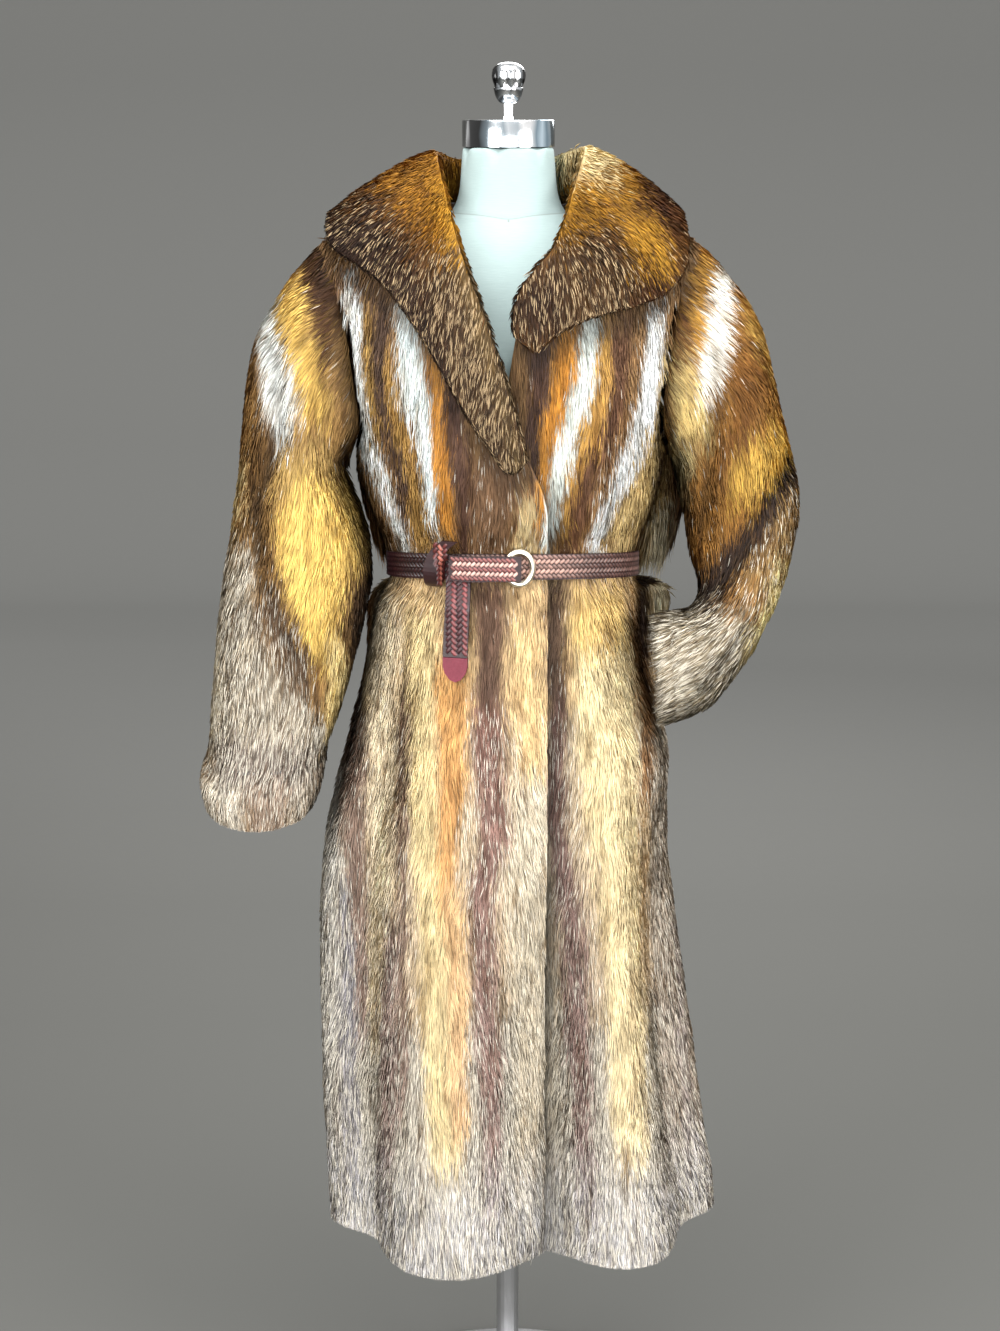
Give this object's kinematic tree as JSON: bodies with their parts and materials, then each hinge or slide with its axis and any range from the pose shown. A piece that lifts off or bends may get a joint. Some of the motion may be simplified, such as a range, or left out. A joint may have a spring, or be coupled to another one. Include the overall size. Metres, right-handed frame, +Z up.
{
  "type": "belted fur coat on a dress form with its stand",
  "caption": "Full-length fox-fur coat with a shawl-wide collar and a braided leather belt, worn by a limbless dress form on a round-footed stand.",
  "frame": {"origin": "the middle of the stand foot's flat underside, on the floor that it stands on", "axes": "+Z up, +X to the coat's own left side, -Y to its front"},
  "size_m": [0.714, 0.4204, 1.691],
  "materials": {
    "fur": "long fox fur, combed down, in gold, tan, brown, cream and white",
    "collar_fur": "grizzled fox fur, gold at the neck and dark brown at the edge",
    "braided_leather": "oxblood leather braid, waxed",
    "pale_brass": "pale, satin",
    "form_linen": "off-white linen, matt",
    "chrome": "polished",
    "stand_metal": "satin"
  },
  "bodies": {
    "root": {"right_front": "fur", "left_front": "fur", "back": "fur", "right_sleeve": "fur", "left_sleeve": "fur", "right_cuff": "fur", "left_cuff": "fur", "right_collar": "collar_fur", "left_collar": "collar_fur", "belt_band": "braided_leather", "belt_fold": "braided_leather", "belt_loop": "braided_leather", "belt_tail": "braided_leather", "belt_tip": "braided_leather", "belt_ring": "pale_brass", "dress_form": "form_linen", "neck_cap": "chrome", "cap_stem": "chrome", "cap_knob": "chrome", "stand_pole": "stand_metal", "stand_foot": "stand_metal"}
  },
  "joints": []
}
